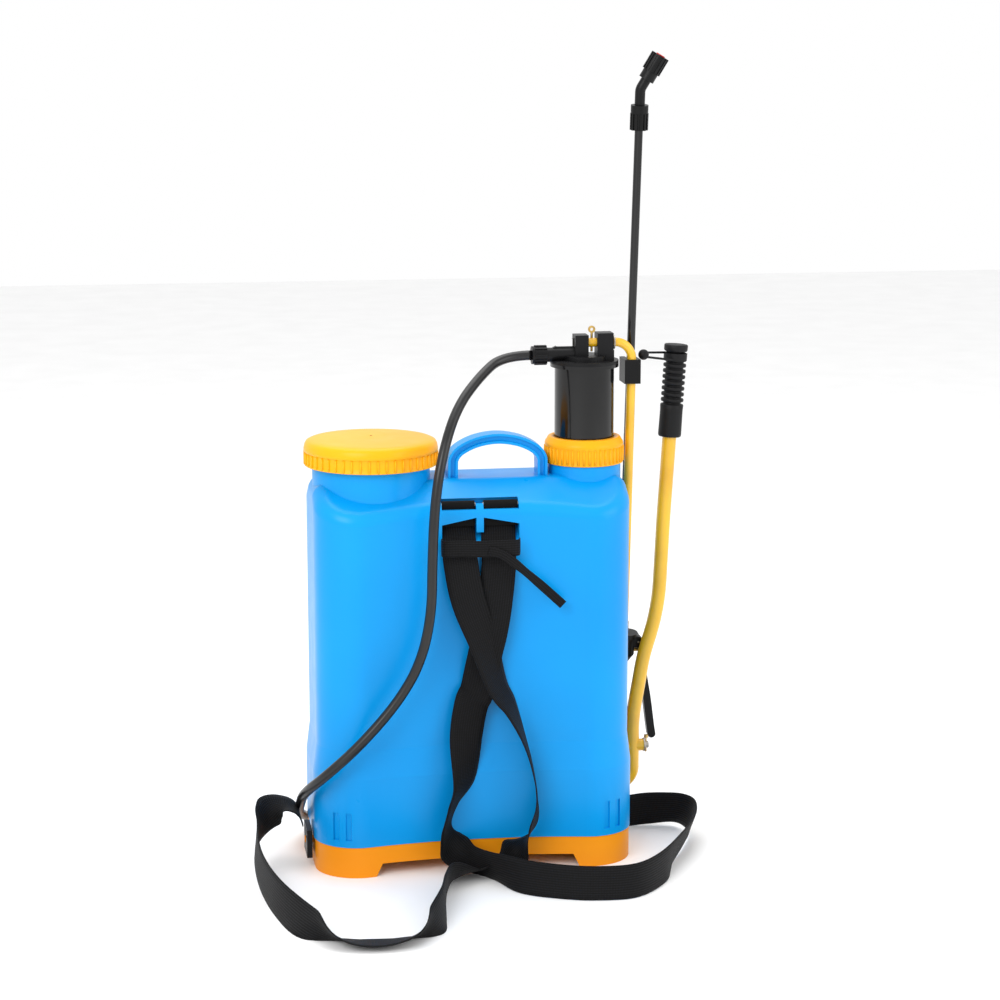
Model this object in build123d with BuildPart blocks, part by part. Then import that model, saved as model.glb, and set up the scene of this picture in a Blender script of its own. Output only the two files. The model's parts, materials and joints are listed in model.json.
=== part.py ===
"""Backpack sprayer: a blow-moulded tank on a skirt, a lever-driven piston pump, and a spray lance.

+X is to the right seen from the wearer's side, +Y away from the wearer, +Z up, in millimetres.
The origin is on the ground, at the centre of the tank's footprint.
"""

from build123d import *
from math import cos, hypot, pi, radians, sin, tan
import os

os.makedirs("parts", exist_ok=True)

# ---- driving dimensions ----
clear = 0.4                 # gap between pieces that move or are dropped in
film = 0.05                 # running clearance of a shaft in its hole

# tank and skirt
tank_width = 350
front_middle = 72           # from the origin to the hollow front, at its middle
front_sag = 25              # how far the corners of the front stand out past its middle
back_depth = 90
corner = 45
wall = 3
seam_z = 35                 # top of the skirt
tank_floor_z = 22
skirt_wall = 6
plug_inset = 4              # the tank's foot is this much smaller, to drop into the skirt
bulge = 4                   # the foot of the tank swells by this much
bulge_top = 112
bulge_blend = 32
plateau_z = 434
plateau_half = 30
shoulder_slope = 0.534
shoulder_round = 18
arch_height = 14.5
arch_half = 114
arch_slant = 7
sole_rib = 8
slot_w, slot_h, slot_pitch, slot_z, slot_deep = 6, 31, 13, 43, 2
boss_r, screw_r, screw_head_r = 7, 2, 4.5
boss_from_side, boss_y = 55, 45     # the four screws of the skirt
screw_depth = 8
eye_r = 4                           # the skirt's eyes for the strap buckles

# filler neck and lid
filler_x = 68 - tank_width / 2
filler_r = 65
lid_r = 74.5
lid_low = plateau_z + 15
lid_rib_top = plateau_z + 28
lid_top = plateau_z + 42
lid_wall = 3
lid_ribs = 48
vent_r = 1.2
vent_x, vent_y = -8, 16             # from the lid's centre
strainer_low = plateau_z - 74
strainer_hole_r = 4

# pump neck, cylinder and chamber
pump_x = tank_width / 2 - 43
pump_neck_r = 41
nut_r = 45
nut_low = plateau_z + 11
nut_rib_top = plateau_z + 29
nut_top = plateau_z + 40
nut_ribs = 36
cylinder_wall = 2.5
upper_bore_r = 34.6
lower_bore_r = 22
step_z = plateau_z - 62     # where the wide bore meets the barrel
barrel_low = plateau_z - 172
intake_low = 50             # bottom of the suction tube
intake_r, intake_wall, intake_slots = 16, 2, 12
suction_r = 7
foot_ball_r, delivery_ball_r = 5, 4.6
chamber_r = 33
chamber_wall = 2.5
chamber_low = plateau_z + 8
plunger_r = 7
piston_z = plateau_z - 90
head_r = 38
head_low = plateau_z + 118
head_disc = 3.6
head_z = plateau_z + 144    # axis of the connecting rod
outlet_z = plateau_z + 131
outlet_r = 8
outlet_end = pump_x - 43
hose_nut_r = 11
hose_nut_len = 16.5
hose_nut_end = outlet_end - hose_nut_len
post_left, post_right = pump_x - 12, pump_x + 31
post_left_top, post_right_top = 9, 11   # above the rod's axis
gap_half = 5                # half the gap between the two clevis posts
post_w = 19
rod_hole_r = 5.1

# hose and cord
hose_r = 5.5
hose_bore_r = 3.5

# pump lever and connecting rod
pivot_y, pivot_z = 45, 54
crank_r = 45
lever_r = 8
lever_wall = 1.5
rod_r = 5
rod_bend = 20
rod_low_x = tank_width / 2 + 11
rod_eye_r, rod_eye_hole = 9, 5.2
crank_pin_r = 4
crank_end = tank_width / 2 + 44
crank_boss_r = 7
cotter_r = 0.9
bush_r = 11
bush_flange_r = 14
bush_flange = 3
bush_low = tank_width / 2 - 25
lever_bend = 19
lever_x = tank_width / 2 + 25
lever_low_z, lever_mid_z, lever_elbow_z = 132, 205, 262
lever_high_z = plateau_z - 64
lever_end_z = plateau_z + 127
grip_r = 11.5
grip_low_z, grip_top = plateau_z + 14, plateau_z + 134
grip_grooves, grip_pitch, grip_groove = 8, 7, 2.4
tie_strand_r, tie_bead_r = 1.3, 6

# lance
lance_r = 4.5
lance_wall = 1
handle_x, handle_y, handle_z = tank_width / 2 + 13, 77, 90
lean = 7.2                  # the lance leans towards the wearer, in degrees
lance_nut_z = plateau_z + 378
nut_len = 27                # the nut at the top of the lance
elbow_turn = 30
elbow_r, elbow_bore = 5.6, 1.5
elbow_rise, elbow_len = 44, 22
tip_r = 5.2
clip_low, clip_high = plateau_z + 97, plateau_z + 124
clip_half = 9
handle_nut_r, handle_nut_len = 9, 14
grip_swell_r, grip_swell_w = 10.4, 40
valve_r = 12.5              # the trigger handle's round head
valve_u = 4                 # the head stands this far to the lever's side
valve_low, valve_top = 106, 137
stem_w, stem_r, seal_r = 120, 2, 5
pin_u, pin_w, pin_r = 20, 132, 1.2
grip_bore = 4
lance_nut_r = 9

# carrying
strap_t = 3
floor_strap_h = 34
window_left, window_right, window_rib_x = -38, 47, 4
window_low, window_top = plateau_z - 27, plateau_z - 16
window_rib_half = 4
bar_low, bar_drop = plateau_z - 43, 8
pocket_low, pocket_back = plateau_z - 62, 54
anchor_y, anchor_z, anchor_r = -62, plateau_z - 23, 2.5
strap_top = plateau_z - 48
layer_left, layer_right = -87, -81      # rear faces of the two hanging straps
tie_low, tie_high, tie_t = plateau_z - 74, plateau_z - 56, 2
buckle_spots = ((-1, -22, 27), (1, 44, 19))
buckle_h, buckle_w, buckle_t = 32, 40, 6
buckle_slots, buckle_slot = (21, 26.5), 3.2
handle_left = filler_x + lid_r + 8.5
handle_right, handle_top = pump_x - nut_r, plateau_z + 48
handle_t, handle_depth, handle_shift = 11, 26, 10
handle_leg = 26                         # straight part of the handle, above the tank


def save(item, label):
    item.part.label = label
    export_step(item.part, f"parts/{label}.step")


def outline(grow):
    """The tank seen from above: a hollow front for the wearer's back, the corners well rounded."""
    half = tank_width / 2 + grow
    front = -front_middle - front_sag - grow
    back = back_depth + grow
    with BuildSketch() as shape:
        with BuildLine():
            ThreePointArc((-half, front), (0, -front_middle - grow), (half, front))
            Line((half, front), (half, back))
            Line((half, back), (-half, back))
            Line((-half, back), (-half, front))
        make_face()
        fillet(shape.vertices(), corner + grow)
    return shape.sketch


def ring(outer, inner, low, high, x=0, y=0):
    """A plain upright ring; inner may be 0 for a disc."""
    with BuildPart() as item:
        with BuildSketch(Plane.XY.offset(low)):
            with Locations((x, y)):
                Circle(outer)
                if inner > 0:
                    Circle(inner, mode=Mode.SUBTRACT)
        extrude(amount=high - low)
    return item.part


def tank_body(shrink):
    """The tank's outside, or with shrink = wall its cavity."""
    with BuildPart() as body:
        with BuildSketch(Plane.XY.offset(tank_floor_z + shrink)):
            add(outline(-plug_inset - shrink))
        extrude(amount=bulge_top - tank_floor_z - shrink)
        with BuildSketch(Plane.XY.offset(seam_z + shrink)):
            add(outline(bulge - shrink))
        extrude(amount=bulge_top - seam_z - shrink)
        with BuildSketch(Plane.XY.offset(bulge_top)):
            add(outline(bulge - shrink))
        with BuildSketch(Plane.XY.offset(bulge_top + bulge_blend)):
            add(outline(-shrink))
        loft()
        with BuildSketch(Plane.XY.offset(bulge_top + bulge_blend)):
            add(outline(-shrink))
        extrude(amount=plateau_z - bulge_top - bulge_blend - shrink)
        # the shoulders slope down to the front and the back
        reach = back_depth + 40
        drop = (reach - plateau_half) * shoulder_slope
        top = plateau_z - shrink
        with BuildSketch(Plane.YZ):
            with BuildLine():
                Polyline(
                    (-reach, 0), (-reach, top - drop), (-plateau_half, top),
                    (plateau_half, top), (reach, top - drop), (reach, 0), close=True,
                )
            make_face()
        extrude(amount=tank_width, both=True, mode=Mode.INTERSECT)
        top_edges = body.edges().filter_by(lambda edge: edge.center().Z > plateau_z - 50)
        fillet(top_edges, shoulder_round - shrink)
    return body


def bar_x(radius, start, end, y, z, bore=0):
    """A round bar or tube along X."""
    with BuildPart() as item:
        with BuildSketch(Plane.YZ.offset(start)):
            with Locations((y, z)):
                Circle(radius)
                if bore > 0:
                    Circle(bore, mode=Mode.SUBTRACT)
        extrude(amount=end - start)
    return item.part


def block(x0, x1, y0, y1, z0, z1):
    """A plain block between two corners."""
    with BuildPart() as item:
        with Locations(((x0 + x1) / 2, (y0 + y1) / 2, (z0 + z1) / 2)):
            Box(x1 - x0, y1 - y0, z1 - z0)
    return item.part


def strap_wall(points, low, high, radius):
    """Webbing on its edge: a thin upright wall along a bent line."""
    with BuildPart() as item:
        with BuildSketch(Plane.XY.offset(low)):
            with BuildLine() as line:
                FilletPolyline(*points, radius=radius)
            trace(line.line, strap_t)
        extrude(amount=high - low)
    return item


def strap_plate(left, right, front):
    """Webbing hanging flat: the outline between its left and right edges, seen from the front."""
    with BuildPart() as item:
        with BuildSketch(Plane.XZ.offset(-front)):
            with BuildLine():
                Polyline(*left, *reversed(right), close=True)
            make_face()
        extrude(amount=strap_t)
    return item


def tube(points, radius, radii, bore=0):
    """A round tube along straight runs joined by arcs."""
    with BuildPart() as item:
        with BuildLine() as route:
            FilletPolyline(*points, radius=radii)
        with BuildSketch(Plane(route.line @ 0, z_dir=route.line % 0)):
            Circle(radius)
            if bore > 0:
                Circle(bore, mode=Mode.SUBTRACT)
        sweep(transition=Transition.ROUND)
    return item, route.line


# ---- tank ----
neck_low = plateau_z - 60
filler_top = lid_top - lid_wall - 3
pump_neck_top = nut_top - 9
bush_end = tank_width / 2 + bulge - 1.5

outer = tank_body(0)
cavity = tank_body(wall)

with BuildPart() as pocket:
    with BuildSketch(Plane.YZ.offset(window_left)):
        with BuildLine():
            Polyline(
                (-pocket_back, window_top), (-pocket_back, pocket_low + 14),
                (-front_middle - 1, pocket_low), (-120, pocket_low), (-120, window_top), close=True,
            )
        make_face()
    extrude(amount=window_right - window_left)

with BuildPart() as pocket_skin:
    with BuildSketch(Plane.YZ.offset(window_left - wall)):
        with BuildLine():
            Polyline(
                (-pocket_back + wall, window_top + wall), (-pocket_back + wall, pocket_low + 12),
                (-front_middle - 1, pocket_low - wall - 2), (-120, pocket_low - wall - 2),
                (-120, window_top + wall), close=True,
            )
        make_face()
    extrude(amount=window_right - window_left + 2 * wall)
    add(outer.part, mode=Mode.INTERSECT)

with BuildPart() as bar:
    add(outer.part)
    with BuildSketch(Plane.XZ.offset(front_middle - 5)):
        with BuildLine():
            Polyline(
                (window_left, bar_low), (window_rib_x, bar_low + bar_drop), (window_right, bar_low),
                (window_right, window_low), (window_left, window_low), close=True,
            )
        make_face()
        with Locations((window_rib_x, (pocket_low + window_top) / 2 + 4)):
            Rectangle(2 * window_rib_half, window_top - pocket_low - 12)
    extrude(amount=60, mode=Mode.INTERSECT)

rib_y = front_middle - 4
rib = block(window_rib_x - window_rib_half, window_rib_x + window_rib_half, -rib_y, -pocket_back + 1,
            pocket_low + 18, window_top - 6)

with BuildPart() as slots:
    with BuildSketch(Plane.XY.offset(slot_z)):
        add(outline(bulge + 6))
        add(outline(bulge - slot_deep), mode=Mode.SUBTRACT)
    extrude(amount=slot_h)
    with BuildSketch(Plane.XY.offset(slot_z)):
        with Locations(*[(side * (tank_width / 2 - 24) + step * slot_pitch / 2, -80)
                         for side in (-1, 1) for step in (-1, 1)]):
            Rectangle(slot_w, 70)
    extrude(amount=slot_h, mode=Mode.INTERSECT)

boss_x = tank_width / 2 - boss_from_side
boss_spots = [(x, y) for x in (-boss_x, boss_x) for y in (-boss_y, boss_y)]

with BuildPart() as tank:
    add(outer.part)
    add(ring(filler_r, 0, neck_low, filler_top, filler_x))
    add(ring(pump_neck_r, 0, neck_low, pump_neck_top, pump_x))
    add(cavity.part, mode=Mode.SUBTRACT)
    add(pocket_skin.part)
    add(ring(filler_r - wall, 0, neck_low - 5, filler_top + 1, filler_x), mode=Mode.SUBTRACT)
    add(ring(pump_neck_r - wall, 0, neck_low - 5, pump_neck_top + 1, pump_x), mode=Mode.SUBTRACT)
    add(pocket.part, mode=Mode.SUBTRACT)
    add(bar.part)
    add(rib)
    add(slots.part, mode=Mode.SUBTRACT)
    # bosses for the skirt's screws, and the blind boss that carries the lever's pivot
    with BuildSketch(Plane.XY.offset(tank_floor_z)):
        with Locations(*boss_spots):
            Circle(boss_r)
    extrude(amount=screw_depth + wall + 1)
    with BuildSketch(Plane.XY.offset(tank_floor_z)):
        with Locations(*boss_spots):
            Circle(screw_r)
    extrude(amount=screw_depth, mode=Mode.SUBTRACT)
    add(bar_x(bush_flange_r + wall, bush_low - 5, tank_width / 2 + bulge - 1, pivot_y, pivot_z))
    add(bar_x(bush_r, bush_low - 2, bush_end + 5, pivot_y, pivot_z), mode=Mode.SUBTRACT)
    recess = bush_end - bush_flange
    add(bar_x(bush_flange_r + clear, recess, bush_end + 20, pivot_y, pivot_z), mode=Mode.SUBTRACT)
save(tank, "tank")

# ---- skirt ----
plate_z = arch_height
with BuildPart() as base:
    with BuildSketch():
        add(outline(bulge - 1))
    extrude(amount=seam_z)
    with BuildSketch(Plane.XY.offset(tank_floor_z)):
        add(outline(-plug_inset + clear))
    extrude(amount=seam_z, mode=Mode.SUBTRACT)
    with BuildSketch():
        add(outline(bulge - 1 - skirt_wall))
    extrude(amount=plate_z, mode=Mode.SUBTRACT)
    with BuildSketch(Plane.XZ.offset(-back_depth - 20)):
        with BuildLine():
            Polyline(
                (-arch_half, 0), (-arch_half + arch_slant, arch_height),
                (arch_half - arch_slant, arch_height),
                (arch_half, 0), (arch_half, -5), (-arch_half, -5), close=True,
            )
        make_face()
    extrude(amount=2 * back_depth + 60, mode=Mode.SUBTRACT)
    add(block(-tank_width / 2 + 2, tank_width / 2 - 2, -sole_rib / 2, sole_rib / 2, 0, plate_z + 1))
    with BuildSketch(Plane.XY.offset(plate_z)):
        with Locations(*boss_spots):
            Circle(screw_r + clear)
    extrude(amount=seam_z, mode=Mode.SUBTRACT)
    # an eye on each side for the strap's buckle
    for side, y, z in buckle_spots:
        near, far = tank_width / 2 - 3, tank_width / 2 + bulge + 9
        add(bar_x(eye_r, min(side * near, side * far), max(side * near, side * far), y, z))
save(base, "base")

with BuildPart() as base_screws:
    with Locations(*[(x, y, 0) for x, y in boss_spots]):
        with Locations((0, 0, plate_z - 1.5)):
            Cylinder(screw_head_r, 3)
        with Locations((0, 0, plate_z + 7)):
            Cylinder(screw_r, 14)
save(base_screws, "base_screws")

# ---- filler: strainer, gasket, lid, vent ----
with BuildPart() as strainer:
    add(ring(filler_r, filler_r - wall - 4, filler_top, filler_top + 1.5, filler_x))
    add(ring(filler_r - wall - clear, filler_r - wall - 2.4, strainer_low, filler_top + 1.5, filler_x))
    add(ring(filler_r - wall - clear, 0, strainer_low, strainer_low + 2, filler_x))
    with BuildSketch(Plane.XY.offset(strainer_low - 1)):
        with Locations((filler_x, 0)):
            with PolarLocations(45, 16):
                Circle(strainer_hole_r)
            with PolarLocations(28, 10):
                Circle(strainer_hole_r)
            with PolarLocations(12, 5):
                Circle(strainer_hole_r)
    extrude(amount=5, mode=Mode.SUBTRACT)
save(strainer, "filler_strainer")

lid_seal_z = filler_top + 1.5
with BuildPart() as lid_gasket:
    add(ring(filler_r, filler_r - wall - 3, lid_seal_z, lid_top - lid_wall, filler_x))
save(lid_gasket, "lid_gasket")

with BuildPart() as lid:
    with BuildSketch(Plane.XZ):
        with BuildLine():
            Polyline(
                (0, lid_top), (lid_r - 14, lid_top - 0.6), (lid_r - 5, lid_top - 4),
                (lid_r - 1.5, lid_rib_top),
                (lid_r - 1.5, lid_low), (filler_r + 2 * clear, lid_low),
                (filler_r + 2 * clear, lid_top - lid_wall), (0, lid_top - lid_wall), close=True,
            )
        make_face()
    revolve(axis=Axis.Z)
    with BuildSketch(Plane.XY.offset(lid_low)):
        with PolarLocations(lid_r - 1.5, lid_ribs):
            Rectangle(3, 1.8)
    extrude(amount=lid_rib_top - lid_low)
    with Locations((vent_x, vent_y, lid_top - lid_wall / 2)):
        Cylinder(vent_r, 2 * lid_wall, mode=Mode.SUBTRACT)
lid_place = Location((filler_x, 0, 0))
lid_part = lid.part.moved(lid_place)
lid_part.label = "lid"
export_step(lid_part, "parts/lid.step")

with BuildPart() as lid_vent_valve:
    add(ring(4, 0, lid_top - lid_wall - 1.6, lid_top - lid_wall, filler_x + vent_x, vent_y))
save(lid_vent_valve, "lid_vent_valve")

# ---- carrying handle ----
with BuildPart() as carry_handle:
    middle = (handle_left + handle_right) / 2
    foot, leg, inner_leg = plateau_z, plateau_z + handle_leg, plateau_z + handle_leg - 6
    inner_left, inner_right = handle_left + handle_t, handle_right - handle_t
    with BuildSketch(Plane.XZ.offset(handle_shift - handle_depth / 2)):
        with BuildLine():
            Polyline((handle_left, foot), (handle_left, leg))
            ThreePointArc((handle_left, leg), (middle, handle_top), (handle_right, leg))
            Polyline(
                (handle_right, leg), (handle_right, foot), (inner_right, foot), (inner_right, inner_leg),
            )
            ThreePointArc(
                (inner_right, inner_leg), (middle, handle_top - handle_t), (inner_left, inner_leg),
            )
            Polyline((inner_left, inner_leg), (inner_left, foot), (handle_left, foot))
        make_face()
    extrude(amount=handle_depth)
save(carry_handle, "carry_handle")

# ---- pump, outside parts that stay with the tank ----
with BuildPart() as neck_gasket:
    add(ring(pump_neck_r, pump_neck_r - wall, pump_neck_top, pump_neck_top + 1, pump_x))
save(neck_gasket, "neck_gasket")

flange_low = pump_neck_top + 1
flange_top = flange_low + 3
barrel_r = lower_bore_r + cylinder_wall
with BuildPart() as pump_cylinder:
    add(ring(pump_neck_r, upper_bore_r, flange_low, flange_top, pump_x))
    add(ring(upper_bore_r + cylinder_wall, upper_bore_r, step_z, flange_top, pump_x))
    add(ring(upper_bore_r + cylinder_wall, lower_bore_r, step_z - 3, step_z, pump_x))
    add(ring(barrel_r, lower_bore_r, barrel_low, step_z, pump_x))
save(pump_cylinder, "pump_cylinder")

with BuildPart() as foot_valve_cage:
    add(ring(barrel_r, 0, barrel_low - 12, barrel_low, pump_x))
    add(ring(suction_r + 2, 0, barrel_low - 24, barrel_low - 12, pump_x))
    with Locations((pump_x, 0, barrel_low)):
        Cylinder(6, 14, mode=Mode.SUBTRACT)
    with Locations((pump_x, 0, barrel_low - 15)):
        Cylinder(4, 40, mode=Mode.SUBTRACT)
save(foot_valve_cage, "foot_valve_cage")

with BuildPart() as foot_valve_ball:
    with Locations((pump_x, 0, barrel_low - 3.9 + clear / 2)):
        Sphere(foot_ball_r)
save(foot_valve_ball, "foot_valve_ball")

with BuildPart() as suction_tube:
    add(ring(suction_r + 4, suction_r + 2, barrel_low - 24, barrel_low - 12, pump_x))
    add(ring(suction_r + 4, suction_r - 2, barrel_low - 28, barrel_low - 24, pump_x))
    add(ring(suction_r, suction_r - 2, intake_low, barrel_low - 27, pump_x))
save(suction_tube, "suction_tube")

with BuildPart() as intake_strainer:
    intake_mid = intake_r - intake_wall / 2
    intake_foot, intake_head = intake_low - 18, intake_low + 8
    add(ring(intake_r, intake_r - intake_wall, intake_foot, intake_head, pump_x))
    add(ring(intake_mid, 0, intake_foot, intake_foot + intake_wall, pump_x))
    add(ring(intake_mid, suction_r, intake_head - intake_wall, intake_head, pump_x))
    with Locations((pump_x, 0, (intake_foot + intake_head) / 2)):
        with PolarLocations(intake_mid, intake_slots):
            Box(6, 3, 16, mode=Mode.SUBTRACT)
save(intake_strainer, "intake_strainer")

with BuildPart() as collar_nut:
    with BuildSketch(Plane.XZ):
        bore = pump_neck_r + 2 * clear
        lip = upper_bore_r - 0.6
        with BuildLine():
            Polyline(
                (lip, nut_top), (nut_r - 5, nut_top), (nut_r - 3, nut_top - 4), (nut_r - 1.5, nut_rib_top),
                (nut_r - 1.5, nut_low), (bore, nut_low), (bore, flange_top), (lip, flange_top), close=True,
            )
        make_face()
    revolve(axis=Axis.Z)
    with BuildSketch(Plane.XY.offset(nut_low)):
        with PolarLocations(nut_r - 1.5, nut_ribs):
            Rectangle(3, 4)
    extrude(amount=nut_rib_top - nut_low)
nut_part = collar_nut.part.moved(Location((pump_x, 0, 0)))
nut_part.label = "collar_nut"
export_step(nut_part, "parts/collar_nut.step")

# ---- moving pump: chamber, head, plunger ----
flange_z = head_low + head_disc
with BuildPart() as air_chamber:
    add(ring(chamber_r, chamber_r - chamber_wall, chamber_low, flange_z, pump_x))
    add(ring(chamber_r, plunger_r - 2, chamber_low, chamber_low + 5, pump_x))
    add(ring(head_r, chamber_r - chamber_wall, head_low, flange_z, pump_x))
save(air_chamber, "air_chamber")

with BuildPart() as plunger_tube:
    add(ring(plunger_r, plunger_r - 2, piston_z, chamber_low, pump_x))
save(plunger_tube, "plunger_tube")

with BuildPart() as piston_head:
    add(ring(lower_bore_r - 1, 0, piston_z - 4, piston_z, pump_x))
    add(ring(lower_bore_r - 6, 0, piston_z - 16, piston_z - 4, pump_x))
    add(ring(lower_bore_r - 1, 0, piston_z - 20, piston_z - 16, pump_x))
    with Locations((pump_x, 0, piston_z - 5)):
        Cylinder(6, 16, mode=Mode.SUBTRACT)
    with Locations((pump_x, 0, piston_z - 14)):
        Cylinder(3.5, 40, mode=Mode.SUBTRACT)
save(piston_head, "piston_head")

with BuildPart() as piston_cup:
    cup_inner = lower_bore_r - 6 + film
    add(ring(lower_bore_r - film, cup_inner, piston_z - 16, piston_z - 4, pump_x))
    add(ring(lower_bore_r - 2.5, cup_inner - 0.5, piston_z - 17, piston_z - 9, pump_x), mode=Mode.SUBTRACT)
    add(ring(lower_bore_r - 2.5, cup_inner, piston_z - 11, piston_z - 9, pump_x))
save(piston_cup, "piston_cup")

with BuildPart() as delivery_ball:
    with Locations((pump_x, 0, piston_z - 8.3 + clear)):
        Sphere(delivery_ball_r)
save(delivery_ball, "delivery_ball")

head_top = flange_z + head_disc
with BuildPart() as pump_head:
    add(ring(head_r, 0, flange_z, head_top, pump_x))
    add(ring(24, 0, head_top, head_top + 5, pump_x))
    gap_left, gap_right = pump_x + 3, pump_x + 3 + 2 * gap_half
    add(block(post_left, gap_left, -post_w / 2, post_w / 2, head_top, head_z + post_left_top))
    add(block(gap_right, post_right, -post_w / 2, post_w / 2, head_top, head_z + post_right_top))
    for step in range(-2, 3):
        add(block(post_right - 18, post_right + 0.9, step * 4 - 0.8, step * 4 + 0.8, head_top, head_z - 8))
    add(bar_x(outlet_r, outlet_end, pump_x - 4, 0, outlet_z))
    with BuildSketch(Plane.XZ.offset(-3)):
        with BuildLine():
            Polyline(
                (outlet_end + 7, outlet_z), (outlet_end + 7, outlet_z + outlet_r),
                (post_left + 2, head_z + 6),
                (post_left + 2, outlet_z), close=True,
            )
        make_face()
    extrude(amount=6)
    add(bar_x(hose_bore_r, outlet_end - 1, pump_x, 0, outlet_z), mode=Mode.SUBTRACT)
    with Locations((pump_x, 0, flange_z + 2)):
        Cylinder(hose_bore_r, 16, mode=Mode.SUBTRACT)
    add(bar_x(rod_hole_r, post_left - 20, post_right + 7, 0, head_z), mode=Mode.SUBTRACT)
    add(ring(chamber_r - 0.3, chamber_r - 2.2, flange_z - 1, flange_z + 1.4, pump_x), mode=Mode.SUBTRACT)
save(pump_head, "pump_head")

with BuildPart() as head_o_ring:
    add(ring(chamber_r - 0.3, chamber_r - 2.2, flange_z, flange_z + 1.4, pump_x))
save(head_o_ring, "head_o_ring")

with BuildPart() as pump_hose_nut:
    add(bar_x(hose_nut_r - 1, hose_nut_end, outlet_end, 0, outlet_z, hose_r))
    with BuildSketch(Plane.YZ.offset(hose_nut_end + 3)):
        with Locations((0, outlet_z)):
            with PolarLocations(hose_nut_r - 1, 14):
                Rectangle(2, 2.2)
    extrude(amount=hose_nut_len - 3)
save(pump_hose_nut, "pump_hose_nut")

# ---- connecting rod ----
rod_span = hypot(pivot_y, head_z - pivot_z - crank_r)
crank_z = pivot_z + crank_r
rod_route = [(post_left + 2, 0, head_z), (rod_low_x, 0, head_z),
             (rod_low_x, pivot_y * (1 - 12 / rod_span), crank_z + 12)]
rod, _ = tube(rod_route, rod_r, rod_bend)
with BuildPart() as connecting_rod:
    add(rod.part)
    add(bar_x(rod_eye_r, rod_low_x - rod_r, rod_low_x + rod_r, pivot_y, crank_z))
    add(bar_x(rod_eye_hole, rod_low_x - 10, rod_low_x + 10, pivot_y, crank_z), mode=Mode.SUBTRACT)
    gap_x = pump_x + 3 + gap_half
    with Locations((gap_x, 0, head_z)):
        Cylinder(1.4, 30, mode=Mode.SUBTRACT)
save(connecting_rod, "connecting_rod")

with BuildPart() as rod_top_cotter:
    with Locations((gap_x, 0, head_z + 1)):
        Cylinder(1.3, 22)
    with BuildSketch(Plane.XZ.offset(-1.2)):
        with Locations((gap_x, head_z + 14.5)):
            Circle(4)
            Circle(1.8, mode=Mode.SUBTRACT)
    extrude(amount=2.4)
save(rod_top_cotter, "rod_top_cotter")

with BuildPart() as rod_washer:
    add(bar_x(8, post_right + 1.3, post_right + 2.6, 0, head_z, rod_r))
save(rod_washer, "rod_washer")

# ---- lance axis: leaning towards the wearer, resting in the clip on the rod ----
wand = Plane(origin=(handle_x, handle_y, handle_z), x_dir=(1, 0, 0),
             z_dir=(0, -sin(radians(lean)), cos(radians(lean))))


def save_wand(item, label):
    """Places a piece that was made upright, its axis through the origin, on the lance's axis."""
    placed = item.part.moved(wand.location)
    placed.label = label
    export_step(placed, f"parts/{label}.step")


clip_slot = lance_r + 0.7
with BuildPart() as lance_clip:
    slope = pivot_y / (head_z - crank_z)
    middle_y = (head_z - (clip_low + clip_high) / 2) * slope
    clip_left, clip_right = rod_low_x - clip_half, rod_low_x + clip_half
    add(block(clip_left, clip_right, middle_y - 8, middle_y + 23, clip_low, clip_high))
    add(rod.part, mode=Mode.SUBTRACT)
    with BuildSketch(wand.offset(clip_low - handle_z - 21)):
        Circle(clip_slot)
        with Locations((0, 20)):
            Rectangle(2 * clip_slot, 40)
    extrude(amount=80, mode=Mode.SUBTRACT)
    add(block(clip_left, clip_right, -30, middle_y - 8, clip_low, clip_high), mode=Mode.SUBTRACT)
save(lance_clip, "lance_clip")

# ---- lever ----
high_x, end_x = lever_x + 34, lever_x + 46
lever_route = [(bush_low + 6, pivot_y, pivot_z), (lever_x, pivot_y, pivot_z),
               (lever_x, pivot_y, lever_low_z), (lever_x + 12, pivot_y, lever_mid_z),
               (lever_x + 29, pivot_y, lever_elbow_z), (high_x, pivot_y, lever_high_z),
               (end_x, pivot_y, lever_end_z)]
lever_radii = [lever_bend, 200, 200, 260, 700]
lever, _ = tube(lever_route, lever_r, lever_radii, lever_r - lever_wall)
lever_solid, _ = tube(lever_route, lever_r, lever_radii)
boss_left, boss_right = lever_x - 7, lever_x + 13
with BuildPart() as lever_tube:
    add(lever.part)
    add(bar_x(crank_boss_r, boss_left, boss_right, pivot_y, crank_z))
    add(bar_x(crank_pin_r, boss_left - 40, boss_right + 20, pivot_y, crank_z), mode=Mode.SUBTRACT)
save(lever_tube, "lever_tube")

crank_hole_x = crank_end - 2.6
with BuildPart() as crank_pin:
    add(bar_x(crank_pin_r, rod_low_x + rod_r + 0.6, crank_end, pivot_y, crank_z))
    with Locations((crank_hole_x, pivot_y, crank_z)):
        Cylinder(cotter_r, 20, mode=Mode.SUBTRACT)
save(crank_pin, "crank_pin")

with BuildPart() as crank_washer:
    add(bar_x(2 * crank_pin_r, boss_right, boss_right + 1.5, pivot_y, crank_z, crank_pin_r + film))
save(crank_washer, "crank_washer")

with BuildPart() as crank_cotter:
    with Locations((crank_hole_x, pivot_y, crank_z)):
        Cylinder(cotter_r, 17)
    with Locations((crank_hole_x, pivot_y, crank_z + 10)):
        Cylinder(2.4, 3.4)
save(crank_cotter, "crank_cotter")

with BuildPart() as pivot_bush:
    add(bar_x(bush_r - 0.02, bush_low + 4, bush_end, pivot_y, pivot_z, lever_r + film))
    flange_start = bush_end - bush_flange + film
    add(bar_x(bush_flange_r, flange_start, bush_end + 2, pivot_y, pivot_z, lever_r + film))
save(pivot_bush, "pivot_bush")

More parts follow.
